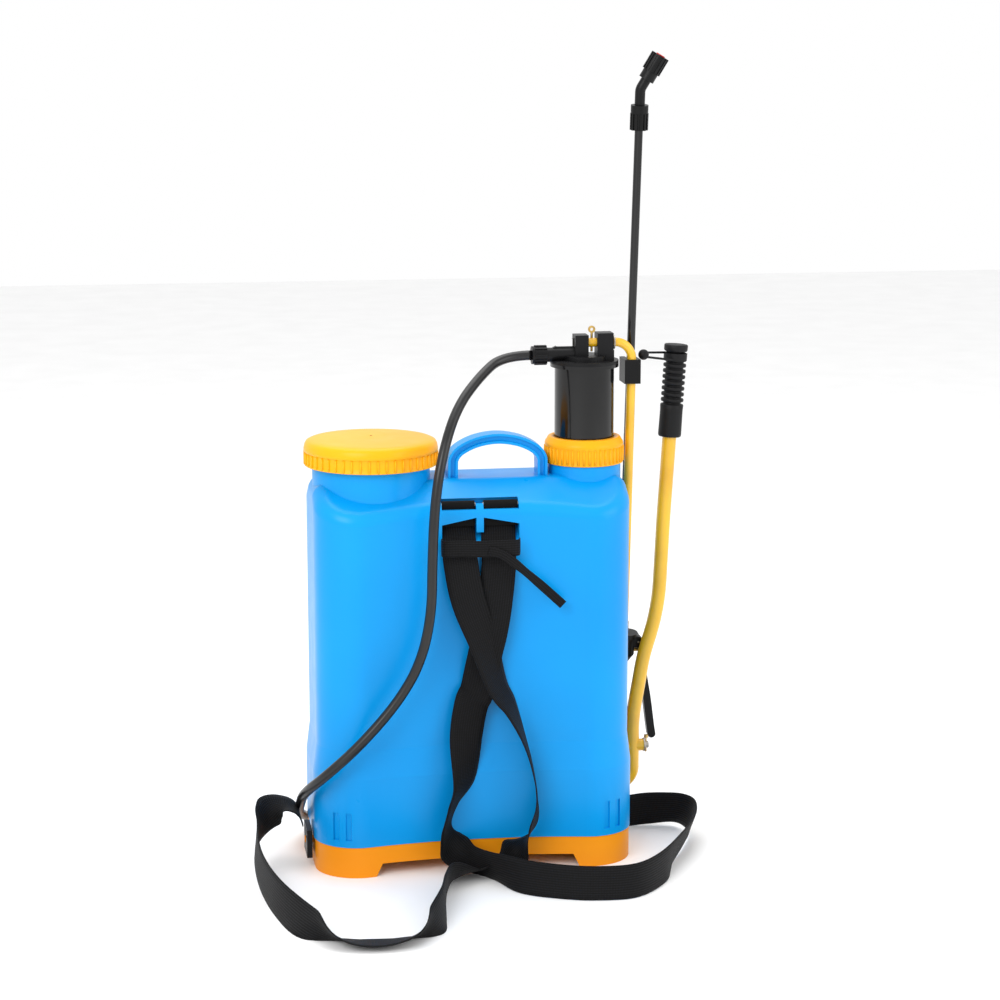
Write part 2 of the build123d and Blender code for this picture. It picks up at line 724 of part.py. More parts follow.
with BuildPart() as pivot_collar:
    add(bar_x(bush_r - 0.6, bush_low, bush_low + 3.4, pivot_y, pivot_z))
    add(bar_x(lever_r - lever_wall, bush_low, bush_low + 12, pivot_y, pivot_z))
    add(bar_x(2, bush_low - 1, bush_low + 13, pivot_y, pivot_z), mode=Mode.SUBTRACT)
save(pivot_collar, "pivot_collar")

# rubber grip on the lever's straight top end
grip_dir = Vector(end_x - high_x, 0, lever_end_z - lever_high_z).normalized()
grip_origin = Vector(high_x, pivot_y, lever_high_z)
grip_start = (grip_low_z - lever_high_z) / grip_dir.Z
grip_end = (grip_top - lever_high_z) / grip_dir.Z
grip_axis = Plane(origin=grip_origin, x_dir=(grip_dir.Z, 0, -grip_dir.X), z_dir=grip_dir)
with BuildPart() as lever_grip:
    with BuildSketch(grip_axis.offset(grip_start)):
        Circle(grip_r)
    extrude(amount=grip_end - grip_start)
    for step in range(grip_grooves):
        with BuildSketch(grip_axis.offset(grip_start + 42 + step * grip_pitch)):
            Circle(grip_r + 1)
            Circle(grip_r - 1.6, mode=Mode.SUBTRACT)
        extrude(amount=grip_groove, mode=Mode.SUBTRACT)
    with BuildSketch(grip_axis.offset(grip_end - 6)):
        Circle(grip_r + 1.5)
    extrude(amount=7)
    add(lever_solid.part, mode=Mode.SUBTRACT)
save(lever_grip, "lever_grip")

# the tie that holds the lever to the lance clip: a bead and a doubled strand round the grip
bead_at = Vector(rod_low_x + 16, 14, clip_high + 3)
neck_at = grip_origin + grip_dir * (grip_end - 14)
with BuildPart() as lever_tie:
    with Locations(bead_at):
        Sphere(tie_bead_r)
    for side in (-1, 1):
        start = bead_at + Vector(0, side * 2.4, side * 2)
        end = neck_at + Vector(0, side * (grip_r - 0.2), side * 3) + Vector(-3, 0, 0)
        with BuildSketch(Plane(origin=start, z_dir=end - start)):
            Circle(tie_strand_r)
        extrude(amount=(end - start).length)
    with BuildSketch(grip_axis.offset(grip_end - 18)):
        Circle(grip_r + 1.8)
        Circle(grip_r + 0.05, mode=Mode.SUBTRACT)
    extrude(amount=8)
    with BuildSketch(grip_axis.offset(grip_end - 30)):
        Circle(grip_r + 0.05)
    extrude(amount=30, mode=Mode.SUBTRACT)
save(lever_tie, "lever_tie")

# ---- lance: made upright with its axis through the origin, then leaned ----
with BuildPart() as handle_hose_nut:
    with BuildSketch():
        Circle(handle_nut_r)
        with PolarLocations(handle_nut_r, 12):
            Rectangle(2, 2.4)
        Circle(hose_r, mode=Mode.SUBTRACT)
    extrude(amount=handle_nut_len)
save_wand(handle_hose_nut, "handle_hose_nut")

with BuildPart() as trigger_handle:
    with BuildSketch(Plane.XY.offset(handle_nut_len)):
        Circle(handle_nut_r)
    with BuildSketch(Plane.XY.offset(grip_swell_w)):
        Circle(grip_swell_r)
    loft()
    with BuildSketch(Plane.XY.offset(grip_swell_w)):
        Circle(grip_swell_r)
    with BuildSketch(Plane.XY.offset(valve_low)):
        Circle(handle_nut_r)
    loft()
    with BuildSketch(Plane.XY.offset(valve_low)):
        Circle(handle_nut_r)
    with BuildSketch(Plane.XY.offset(valve_low + 10)):
        with Locations((valve_u, 0)):
            Circle(valve_r)
    loft()
    with BuildSketch(Plane.XY.offset(valve_low + 10)):
        with Locations((valve_u, 0)):
            Circle(valve_r)
    extrude(amount=valve_top - valve_low - 10)
    for side in (-1, 1):
        add(block(8, pin_u + 2.5, side * 6.3 - 0.9, side * 6.3 + 0.9, valve_top - 12, valve_top + 1))
    with BuildSketch(Plane.XZ.offset(-12)):
        with Locations((pin_u, pin_w)):
            Circle(pin_r)
    extrude(amount=24, mode=Mode.SUBTRACT)
    add(bar_x(3.6, 2, 20, 0, stem_w), mode=Mode.SUBTRACT)
    add(bar_x(seal_r, -3, 13.5, 0, stem_w), mode=Mode.SUBTRACT)
    add(ring(grip_bore, 0, 0, stem_w, 0), mode=Mode.SUBTRACT)
    add(ring(lance_r, 0, stem_w + 7, valve_top + 30, 0), mode=Mode.SUBTRACT)
    add(ring(2, 0, stem_w, valve_top, 0), mode=Mode.SUBTRACT)
save_wand(trigger_handle, "trigger_handle")

with BuildPart() as handle_filter:
    add(ring(grip_bore - 0.2, grip_bore - 1.4, 30, 90))
    with Locations((0, 0, 60)):
        with PolarLocations(grip_bore, 4):
            Box(6, 1.2, 44, mode=Mode.SUBTRACT)
save_wand(handle_filter, "handle_filter")

with BuildPart() as valve_cap:
    with BuildSketch(Plane.XY.offset(valve_top)):
        with Locations((valve_u + 3, 0)):
            Circle(valve_r + 0.5)
        Circle(lance_r + film, mode=Mode.SUBTRACT)
    extrude(amount=5)
    add(block(7, 30, -10, 10, valve_top - 1, valve_top + 1.4), mode=Mode.SUBTRACT)
save_wand(valve_cap, "valve_cap")

with BuildPart() as valve_stem:
    add(bar_x(stem_r, -1, pin_u + 2, 0, stem_w))
    add(bar_x(seal_r - 0.8, -1, 1, 0, stem_w))
save_wand(valve_stem, "valve_stem")

with BuildPart() as valve_seal:
    add(bar_x(seal_r - film, 8, 13.4, 0, stem_w, stem_r + film))
save_wand(valve_seal, "valve_seal")

with BuildPart() as trigger_pin:
    with BuildSketch(Plane.XZ.offset(-7.6)):
        with Locations((pin_u, pin_w)):
            Circle(pin_r)
    extrude(amount=2 * 7.6)
save_wand(trigger_pin, "trigger_pin")

with BuildPart() as trigger_lever:
    with BuildSketch(Plane.XZ.offset(-5)):
        with BuildLine():
            Spline((17.4, 136.5), (21, 137.5), (25.5, 134), (29, 118), (38, 60), (45, 16))
            ThreePointArc((45, 16), (42, 10), (36, 14))
            Spline((36, 14), (29, 60), (23.4, 112), (22.6, 121), (17.8, 129.5))
            Line((17.8, 129.5), (17.4, 136.5))
        make_face()
        with Locations((pin_u, pin_w)):
            Circle(pin_r + film, mode=Mode.SUBTRACT)
    extrude(amount=10)
save_wand(trigger_lever, "trigger_lever")

lance_top = (lance_nut_z - handle_z) / cos(radians(lean))
with BuildPart() as handle_lance_nut:
    with BuildSketch(Plane.XY.offset(valve_top + 5)):
        Circle(8)
        with PolarLocations(8, 10):
            Rectangle(2, 2.4)
        Circle(lance_r + 0.02, mode=Mode.SUBTRACT)
    extrude(amount=14)
save_wand(handle_lance_nut, "handle_lance_nut")

with BuildPart() as lance_tube:
    add(ring(lance_r, lance_r - lance_wall, stem_w + 7, lance_top + 16))
save_wand(lance_tube, "lance_tube")

elbow_start = lance_top + nut_len - lance_nut_r
with BuildPart() as lance_nut:
    with BuildSketch(Plane.XY.offset(lance_top)):
        Circle(lance_nut_r)
        with PolarLocations(lance_nut_r, 12):
            Rectangle(2, 2.6)
        Circle(lance_r + 0.02, mode=Mode.SUBTRACT)
    extrude(amount=elbow_start - lance_top)
    with BuildSketch(Plane.XY.offset(elbow_start)):
        Circle(lance_nut_r + 0.6)
        Circle(elbow_r + film, mode=Mode.SUBTRACT)
    extrude(amount=lance_nut_r)
save_wand(lance_nut, "lance_nut")

bend_w = lance_top + elbow_rise
turn = radians(elbow_turn)
tip_dir = Vector(sin(turn), 0, cos(turn))
elbow_end = Vector(0, 0, bend_w) + tip_dir * elbow_len
elbow, _ = tube([(0, 0, elbow_start), (0, 0, bend_w), tuple(elbow_end)], elbow_r, 12, elbow_bore)
with BuildPart() as nozzle_elbow:
    add(elbow.part)
save_wand(nozzle_elbow, "nozzle_elbow")

tip = Plane(origin=Vector(0, 0, bend_w) + tip_dir * 12, x_dir=(cos(turn), 0, -sin(turn)), z_dir=tip_dir)
with BuildPart() as nozzle_cap:
    with BuildSketch(tip):
        Circle(8.6)
        Circle(elbow_r + film, mode=Mode.SUBTRACT)
    extrude(amount=10)
    with BuildSketch(tip.offset(10)):
        Circle(9.6)
        with PolarLocations(9.4, 14):
            Rectangle(2, 2.2)
        Circle(tip_r, mode=Mode.SUBTRACT)
    extrude(amount=20)
save_wand(nozzle_cap, "nozzle_cap")

with BuildPart() as swirl_plate:
    with BuildSketch(tip.offset(12)):
        Circle(tip_r - clear)
        with PolarLocations(3, 2):
            Circle(0.8, mode=Mode.SUBTRACT)
    extrude(amount=3)
save_wand(swirl_plate, "swirl_plate")

with BuildPart() as nozzle_tip:
    with BuildSketch(tip.offset(16)):
        Circle(tip_r - 0.02)
        Circle(0.8, mode=Mode.SUBTRACT)
    extrude(amount=15)
save_wand(nozzle_tip, "nozzle_tip")

# ---- carrying straps: plain thin solids, each in its own layer ----
with BuildPart() as strap_anchor:
    add(bar_x(anchor_r, window_left, window_rib_x - window_rib_half, anchor_y, anchor_z))
    add(bar_x(anchor_r, window_rib_x + window_rib_half, window_right, anchor_y, anchor_z))
save(strap_anchor, "strap_anchor_rods")

with BuildPart() as strap_loops:
    for x0, x1 in ((window_left + 1, window_rib_x - 5), (window_rib_x + 5, window_right - 1)):
        with BuildSketch(Plane.YZ.offset(x0)):
            with Locations((anchor_y, anchor_z)):
                Circle(anchor_r + 2.2)
            with BuildLine():
                Polyline((anchor_y - 4.7, anchor_z), (anchor_y + 4.7, anchor_z),
                         (anchor_y, strap_top + 6), (anchor_y - 4.7, strap_top + 2), close=True)
            make_face()
            with Locations((anchor_y, anchor_z)):
                Circle(anchor_r + 0.2, mode=Mode.SUBTRACT)
        extrude(amount=x1 - x0)
save(strap_loops, "strap_loops")

strap_left = strap_plate(
    [(-38, strap_top), (-37, strap_top - 30), (-29, 311), (-10, 265), (10, 214), (30, 190), (44, 156),
     (56, 120), (61, 88), (51, 57), (24, 12)],
    [(-2, strap_top), (-1, strap_top - 30), (6, 311), (19, 265), (30, 214), (40, 190), (52, 156),
     (62, 120), (66, 86), (64, 36), (30, 5)], layer_left)
save(strap_left, "strap_left_hanging")

strap_right = strap_plate(
    [(4, strap_top), (4, strap_top - 43), (-1, 287), (-12, 243), (-18, 209), (-26, 193), (-33, 159),
     (-30, 107), (-37, 78), (-44, 51), (-37, 27)],
    [(43, strap_top), (42, strap_top - 44), (32, 286), (24, 242), (14, 208), (9, 191), (4, 157),
     (-3, 106), (-22, 77), (-30, 50), (-23, 27)], layer_right)
save(strap_right, "strap_right_hanging")

strap_left_floor = strap_wall(
    [(-32, -128), (-47, -172), (-60, -235), (-76, -282), (-120, -303), (-170, -297), (-206, -262),
     (-230, -185), (-243, -100), (-240, -34), (-222, -8), (-200, -10)], 0, floor_strap_h, 18)
save(strap_left_floor, "strap_left_floor")

strap_right_floor = strap_wall(
    [(-2, -122), (12, -136), (38, -164), (75, -187), (114, -198), (160, -193), (198, -152), (228, -88),
     (256, -30), (264, 14), (242, 44), (202, 46)], 0, floor_strap_h, 14)
save(strap_right_floor, "strap_right_floor")

with BuildPart() as strap_tie:
    tie_y = layer_left - strap_t - 0.4
    add(block(window_left - 1, window_right + 1, tie_y - tie_t, tie_y, tie_low, tie_high))
    with BuildSketch(Plane.XZ.offset(-tie_y)):
        with BuildLine():
            Polyline(
                (18, tie_high - 2), (34, tie_high - 6), (44, tie_low - 4), (96, tie_low - 52),
                (93, tie_low - 56), (38, tie_low - 10), (26, tie_low + 2), close=True,
            )
        make_face()
    extrude(amount=tie_t)
save(strap_tie, "strap_tie")

# a ladder buckle at each end, hung on the skirt's eye
for name, (side, y, z) in zip(("strap_buckle_left", "strap_buckle_right"), buckle_spots):
    x = side * (tank_width / 2 + bulge + 5)
    low, half = z - buckle_h / 2, buckle_w / 2
    with BuildPart() as buckle:
        add(block(x - buckle_t / 2, x + buckle_t / 2, y - half, y + half, low, low + buckle_h))
        for rise in buckle_slots:
            add(block(x - buckle_t, x + buckle_t, y - half + 2.5, y + half - 2.5, low + rise,
                      low + rise + buckle_slot), mode=Mode.SUBTRACT)
        add(bar_x(eye_r + 0.3, x - 10, x + 10, y, z), mode=Mode.SUBTRACT)
    save(buckle, name)

# ---- hose: from the pump's outlet round the tank to the handle ----
side = tank_width / 2
hose_route = [
    (hose_nut_end, 0, outlet_z), (40, 0, outlet_z), (10, -30, outlet_z - 18), (-20, -62, outlet_z - 47),
    (-40, -94, outlet_z - 91), (-50, -104, outlet_z - 145), (-53, -105, 358), (-54, -105, 300),
    (-66, -104, 246), (-92, -104, 202), (41 - side, -106, 156), (3 - side, -100, 121),
    (-side - 17, -66, 94), (-side - 16, -10, 66), (-side - 15, 46, 36), (5 - side, 98, 13),
    (-124, 132, 5.6), (-62, 146, 5.9), (0, 142, 5.6), (62, 150, 5.9), (116, 146, 5.6),
    (side - 17, 122, 8), (side + 9, 95, 26), (side + 13, 81.7, 53), (handle_x, handle_y, handle_z),
]


def corner_radii(points):
    """For each corner, 0.45 of the shorter run over the tangent of half the turn."""
    radii = []
    for before, here, after in zip(points, points[1:], points[2:]):
        first = Vector(here) - Vector(before)
        second = Vector(after) - Vector(here)
        half_turn = radians(first.get_angle(second)) / 2
        radii.append(0.45 * min(first.length, second.length) / tan(half_turn))
    return radii


hose, hose_line = tube(hose_route, hose_r, corner_radii(hose_route), hose_bore_r)
area = pi * (hose_r ** 2 - hose_bore_r ** 2)
hose_length = sum(edge.length for edge in hose_line.edges())
print("hose length", round(hose_length), "volume ratio", round(hose.part.volume / (area * hose_length), 4))
save(hose, "hose")
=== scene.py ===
# %% [markdown]
# # A backpack sprayer
#
# The object is a blue tank that is worn on the back, with a yellow skirt and yellow screw caps,
# a lever pump on its right, a lance with a trigger, a rubber hose and two webbing straps.
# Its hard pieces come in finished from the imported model, so this lesson is mostly about finishes,
# about the soft pieces, and about the small repeated details that make a plain shape look moulded.

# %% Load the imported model
import bpy
import bmesh
import json
from math import cos, pi, radians, sin
from mathutils import Matrix, Vector


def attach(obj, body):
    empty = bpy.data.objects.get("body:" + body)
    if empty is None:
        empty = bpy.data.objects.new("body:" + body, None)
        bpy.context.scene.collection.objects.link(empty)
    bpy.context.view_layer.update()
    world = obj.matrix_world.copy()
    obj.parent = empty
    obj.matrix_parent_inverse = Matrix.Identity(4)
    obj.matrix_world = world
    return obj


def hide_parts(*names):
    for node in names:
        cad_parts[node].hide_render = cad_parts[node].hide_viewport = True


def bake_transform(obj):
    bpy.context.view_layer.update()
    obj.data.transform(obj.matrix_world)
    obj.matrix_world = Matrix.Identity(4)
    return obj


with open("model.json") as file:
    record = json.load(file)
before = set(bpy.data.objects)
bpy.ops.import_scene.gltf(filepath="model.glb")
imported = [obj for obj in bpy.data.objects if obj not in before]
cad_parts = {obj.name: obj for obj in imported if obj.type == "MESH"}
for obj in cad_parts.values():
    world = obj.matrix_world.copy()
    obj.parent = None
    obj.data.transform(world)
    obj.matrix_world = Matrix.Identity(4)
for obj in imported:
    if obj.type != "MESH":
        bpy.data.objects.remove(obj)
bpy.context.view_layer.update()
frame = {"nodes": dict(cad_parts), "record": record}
nodes = frame["nodes"]
MM = 0.001


def mm(x, y, z):
    """A place given in millimetres, in metres."""
    return Vector((x * MM, y * MM, z * MM))


# %% [markdown]
# ## Camera
#
# The view is from the wearer's side, a little to the left and a little above, from far away
# with a long lens, so that upright edges stay nearly parallel.

# %% Camera
CAMERA_AT = Vector((-0.4081, -2.8117, 0.9563))
LOOK_AT = Vector((0.0372, 0.0, 0.403))

camera_data = bpy.data.cameras.new("camera")
camera_data.lens = 93.6
camera_data.sensor_width = 36
camera = bpy.data.objects.new("camera", camera_data)
camera.location = CAMERA_AT
camera.rotation_euler = (LOOK_AT - CAMERA_AT).to_track_quat("-Z", "Y").to_euler()
bpy.context.scene.collection.objects.link(camera)
bpy.context.scene.camera = camera
print("camera", tuple(round(v, 3) for v in camera.location))

# %% [markdown]
# ## Light
#
# The object is lit as in a small studio, by large soft boxes: one from each side, one above.
# A bright, even world fills the shadows, and the floor is a plain pale sheet.

# %% Floor and lights
FLOOR_HALF = 6.0


def add_light(name, place, target, size, power):
    """A square soft box that looks at target."""
    data = bpy.data.lights.new(name, "AREA")
    data.size = size
    data.energy = power
    lamp = bpy.data.objects.new(name, data)
    lamp.location = place
    lamp.rotation_euler = (Vector(target) - Vector(place)).to_track_quat("-Z", "Y").to_euler()
    bpy.context.scene.collection.objects.link(lamp)


add_light("key_light", (-1.6, -2.2, 2.0), (0, 0, 0.3), 1.6, 44)
add_light("fill_light", (2.2, -1.6, 1.3), (0, 0, 0.35), 1.8, 20)
add_light("top_light", (0.0, 0.6, 2.6), (0, 0, 0.2), 2.0, 30)

world = bpy.data.worlds.new("studio")
world.use_nodes = True
world.node_tree.nodes["Background"].inputs["Color"].default_value = (1.0, 1.0, 1.0, 1)
world.node_tree.nodes["Background"].inputs["Strength"].default_value = 1.0
bpy.context.scene.world = world
bpy.context.scene.view_settings.view_transform = "Standard"

floor_mesh = bpy.data.meshes.new("floor")
floor_corners = [(x * FLOOR_HALF, y * FLOOR_HALF, 0) for x, y in ((-1, -1), (1, -1), (1, 1), (-1, 1))]
floor_mesh.from_pydata(floor_corners, [], [(0, 1, 2, 3)])
floor = bpy.data.objects.new("floor", floor_mesh)
bpy.context.scene.collection.objects.link(floor)
print("three lights and a floor")

# %% [markdown]
# ## Finishes
#
# Every finish is a small node tree on the Principled shader. One helper opens a material and
# returns its parts; each finish then adds the detail that the real surface has.

# %% A helper for materials


class Finish:
    """A new material with its Principled shader, and short calls for the nodes that feed it."""

    def __init__(self, name, **sockets):
        self.material = bpy.data.materials.new(name)
        self.material.use_nodes = True
        self.tree = self.material.node_tree
        self.shader = self.tree.nodes["Principled BSDF"]
        for socket, value in sockets.items():
            self.shader.inputs[socket.replace("_", " ")].default_value = value

    def node(self, kind, **values):
        made = self.tree.nodes.new("ShaderNode" + kind)
        for key, value in values.items():
            if hasattr(made, key):
                setattr(made, key, value)
            else:
                made.inputs[key.replace("_", " ")].default_value = value
        return made

    def link(self, out, into):
        self.tree.links.new(out, into)

    def place(self, kind="Object"):
        return self.node("TexCoord").outputs[kind]

    def noise(self, scale, detail=3.0, where=None):
        made = self.node("TexNoise", Scale=scale, Detail=detail)
        self.link(where or self.place(), made.inputs["Vector"])
        return made.outputs["Fac"]

    def ramp(self, value, stops):
        made = self.node("ValToRGB")
        for index, (at, colour) in enumerate(stops):
            stop = made.color_ramp.elements[index] if index < 2 else made.color_ramp.elements.new(at)
            stop.position = at
            stop.color = (*colour, 1)
        self.link(value, made.inputs["Fac"])
        return made.outputs["Color"]

    def spread(self, value, low, high):
        made = self.node("MapRange")
        made.inputs["To Min"].default_value = low
        made.inputs["To Max"].default_value = high
        self.link(value, made.inputs["Value"])
        return made.outputs["Result"]

    def bump(self, height, strength, distance, after=None):
        made = self.node("Bump", Strength=strength, Distance=distance)
        self.link(height, made.inputs["Height"])
        if after:
            self.link(after, made.inputs["Normal"])
        return made.outputs["Normal"]


def moulded(name, light, dark, rough, grain=0.00012, patch=9.0, spec=0.4):
    """Moulded plastic: slow changes of tone, a fine grain, and a gloss that varies with both."""
    finish = Finish(name, Specular_IOR_Level=spec)
    slow = finish.noise(patch, 2.0)
    finish.link(finish.ramp(slow, [(0.3, dark), (0.7, light)]), finish.shader.inputs["Base Color"])
    fine = finish.noise(900.0, 2.0)
    finish.link(finish.spread(finish.noise(40.0, 4.0), rough - 0.06, rough + 0.08),
                finish.shader.inputs["Roughness"])
    wave = finish.bump(slow, 0.25, 0.002)
    finish.link(finish.bump(fine, 0.35, grain, wave), finish.shader.inputs["Normal"])
    return finish


def painted(name, light, dark, rough):
    """Enamelled steel tube: a clear gloss over orange-peel paint, duller where hands rub it."""
    finish = Finish(name, Coat_Weight=0.5, Coat_Roughness=0.12)
    worn = finish.noise(14.0, 5.0)
    finish.link(finish.ramp(worn, [(0.35, dark), (0.62, light)]), finish.shader.inputs["Base Color"])
    finish.link(finish.spread(worn, rough, rough + 0.2), finish.shader.inputs["Roughness"])
    finish.link(finish.bump(finish.noise(420.0, 2.0), 0.3, 0.0001), finish.shader.inputs["Normal"])
    return finish


def plated(name, light, dark, rough):
    """Bare or plated metal: brushed one way, with small dull spots."""
    finish = Finish(name, Metallic=1.0)
    spots = finish.noise(180.0, 5.0)
    finish.link(finish.ramp(spots, [(0.35, dark), (0.6, light)]), finish.shader.inputs["Base Color"])
    finish.link(finish.spread(spots, rough, rough + 0.25), finish.shader.inputs["Roughness"])
    finish.link(finish.bump(spots, 0.2, 0.00008), finish.shader.inputs["Normal"])
    return finish


# %% Make the finishes
tank_blue = moulded("tank_blue", (0.0, 0.3, 0.74), (0.0, 0.25, 0.64), 0.3, patch=5.0, spec=0.22)
cap_yellow = moulded("cap_yellow", (0.95, 0.42, 0.006), (0.88, 0.35, 0.003), 0.34, spec=0.2)
base_yellow = moulded("base_yellow", (0.86, 0.3, 0.006), (0.78, 0.25, 0.003), 0.4, spec=0.2)
black_plastic = moulded("black_plastic", (0.006, 0.006, 0.007), (0.002, 0.002, 0.002), 0.38, 0.0002, spec=0.2)
gloss_black = moulded("gloss_black", (0.0025, 0.0025, 0.003), (0.001, 0.001, 0.001), 0.12, 0.00003, spec=0.45)
gasket_rubber = moulded("gasket_rubber", (0.007, 0.007, 0.008), (0.003, 0.003, 0.003), 0.5, 0.0003, spec=0.2)
white_plastic = moulded("white_plastic", (0.72, 0.72, 0.68), (0.62, 0.62, 0.58), 0.45, spec=0.3)
tip_red = moulded("tip_red", (0.6, 0.012, 0.006), (0.45, 0.006, 0.003), 0.25, 0.00005)
yellow_steel = painted("yellow_steel", (0.8, 0.46, 0.008), (0.66, 0.35, 0.005), 0.28)
steel = plated("steel", (0.5, 0.47, 0.42), (0.3, 0.28, 0.24), 0.28)
brass = plated("brass", (0.62, 0.42, 0.13), (0.34, 0.21, 0.07), 0.3)
FINISHES = {
    "tank_blue": tank_blue, "cap_yellow": cap_yellow, "base_yellow": base_yellow,
    "black_plastic": black_plastic, "gloss_black": gloss_black, "black_rubber": gasket_rubber,
    "hose_rubber": gasket_rubber, "white_plastic": white_plastic, "tip_red": tip_red,
    "yellow_steel": yellow_steel, "steel": steel, "brass": brass, "webbing": black_plastic,
}

floor_sheet = moulded("floor_sheet", (0.93, 0.93, 0.93), (0.9, 0.9, 0.9), 0.7)
floor.data.materials.append(floor_sheet.material)

# %% Give every hard piece its finish
slot_of = {part["node"]: part["material_slot"] for part in frame["record"]["subparts"]}
for name, obj in nodes.items():
    obj.data.materials.clear()
    obj.data.materials.append(FINISHES[slot_of[name]].material)
print("finished", len(nodes), "hard pieces")

# %% [markdown]
# ## Helpers for new pieces
#
# New pieces are plain meshes made from lists of points. Each helper leaves its object at the
# origin, with its place in the mesh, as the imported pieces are.

# %% Mesh helpers


def new_piece(name, points, faces, finish, body, smooth=True, uv=None):
    """A mesh object that rides on a body."""
    mesh = bpy.data.meshes.new(name)
    mesh.from_pydata([tuple(p) for p in points], [], faces)
    if uv:
        layer = mesh.uv_layers.new(name="UVMap")
        for loop in mesh.loops:
            layer.data[loop.index].uv = uv[loop.vertex_index]
    for face in mesh.polygons:
        face.use_smooth = smooth
    mesh.materials.append(finish.material)
    obj = bpy.data.objects.new(name, mesh)
    bpy.context.scene.collection.objects.link(obj)
    if body:
        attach(obj, body)
    return obj


def outward(obj):
    """Turns every face of a closed mesh outward."""
    work = bmesh.new()
    work.from_mesh(obj.data)
    bmesh.ops.recalc_face_normals(work, faces=work.faces)
    work.to_mesh(obj.data)
    work.free()


def turned(name, profile, centre, finish, body, steps=96, axis="Z"):
    """A turned piece: profile is (radius, height) pairs in millimetres, from one pole to the other."""
    points, faces = [], []
    rings = []
    for radius, height in profile:
        if radius == 0:
            rings.append([len(points)])
            points.append((0, 0, height))
        else:
            rings.append(list(range(len(points), len(points) + steps)))
            points += [(radius * cos(2 * pi * k / steps), radius * sin(2 * pi * k / steps), height)
                       for k in range(steps)]
    closed = profile[0][0] and profile[-1][0]
    pairs = list(zip(rings, rings[1:]))
    if closed:
        pairs.append((rings[-1], rings[0]))
    for a, b in pairs:
        if len(a) == len(b) == 1:
            continue
        for k in range(steps):
            near, far = k, (k + 1) % steps
            if len(a) == 1:
                faces.append((a[0], b[far], b[near]))
            elif len(b) == 1:
                faces.append((a[near], a[far], b[0]))
            else:
                faces.append((a[near], a[far], b[far], b[near]))
    placed = []
    for x, y, z in points:
        if axis == "X":
            x, y, z = z, x, y
        placed.append(mm(x, y, z) + Vector(centre))
    obj = new_piece(name, placed, faces, finish, body)
    outward(obj)
    return obj


def curve_points(points, per_run=8):
    """Catmull-Rom points through a list of vectors of any length."""
    out = []
    count = len(points)
    for i in range(count - 1):
        a = points[max(i - 1, 0)]
        b, c = points[i], points[i + 1]
        d = points[min(i + 2, count - 1)]
        for step in range(per_run):
            t = step / per_run
            out.append([0.5 * (2 * q + (r - p) * t + (2 * p - 5 * q + 4 * r - s) * t * t
                               + (3 * q - p - 3 * r + s) * t ** 3) for p, q, r, s in zip(a, b, c, d)])
    out.append(list(points[-1]))
    return out


# %% [markdown]
# ## The hose
#
# The hose is one length of ribless black rubber. It leaves the pump's outlet, drops across the
# front of the tank, goes round its left side and along the ground behind it, and rises into the
# handle. It is a NURBS line through listed points, and the tube is swept along that line, so
# that it curves smoothly between the pump and the tank.

# %% Hose line
HOSE_R = 0.0055
HOSE_ROUTE = [
    (72.5, 0, 565), (40, 0, 565), (10, -30, 547), (-20, -62, 518), (-40, -94, 474),
    (-50, -104, 420), (-53, -105, 358), (-54, -105, 300), (-66, -104, 246), (-92, -104, 202),
    (-134, -106, 156), (-172, -100, 121), (-192, -66, 94), (-191, -10, 66), (-190, 46, 36), (-170, 98, 13),
    (-124, 132, 5.6), (-62, 146, 5.9), (0, 142, 5.6), (62, 150, 5.9), (116, 146, 5.6), (158, 122, 8),
    (184, 95, 26), (188, 81.7, 53), (188, 77, 90),
]


def nurbs_line(name, route, resolution=12):
    """The points of a NURBS line with the route as its control points."""
    data = bpy.data.curves.new(name, "CURVE")
    data.dimensions = "3D"
    spline = data.splines.new("NURBS")
    spline.points.add(len(route) - 1)
    for point, place in zip(spline.points, route):
        point.co = (*mm(*place), 1)
    spline.order_u = 3
    spline.use_endpoint_u = True
    spline.resolution_u = resolution
    obj = bpy.data.objects.new(name, data)
    bpy.context.scene.collection.objects.link(obj)
    mesh = bpy.data.meshes.new_from_object(obj)
    line = [v.co.copy() for v in mesh.vertices]
    bpy.data.objects.remove(obj)
    return line


hose_line = nurbs_line("hose_line", HOSE_ROUTE)
hose_length = sum((b - a).length for a, b in zip(hose_line, hose_line[1:]))
print("hose line", len(hose_line), "points,", round(hose_length, 3), "m")

# %% Hose tube


def tube_mesh(line, radius, sides):
    """Points, faces and UV of a capped tube along a line; V is the distance along it, in metres."""
    points, faces, uv = [], [], []
    side = Vector((0, 1, 0))
    travelled = 0.0
    for i, here in enumerate(line):
        ahead = line[min(i + 1, len(line) - 1)]
        behind = line[max(i - 1, 0)]
        along = (ahead - behind).normalized()
        side = (side - along * side.dot(along)).normalized()
        up = along.cross(side)
        if i:
            travelled += (here - behind).length
        for k in range(sides):
            angle = 2 * pi * k / sides
            points.append(here + (side * cos(angle) + up * sin(angle)) * radius)
            uv.append((k / sides, travelled))
    for i in range(len(line) - 1):
        for k in range(sides):
            a, b = i * sides + k, i * sides + (k + 1) % sides
            faces.append((a, b, b + sides, a + sides))
    faces.append(tuple(reversed(range(sides))))
    faces.append(tuple(range(len(points) - sides, len(points))))
    return points, faces, uv


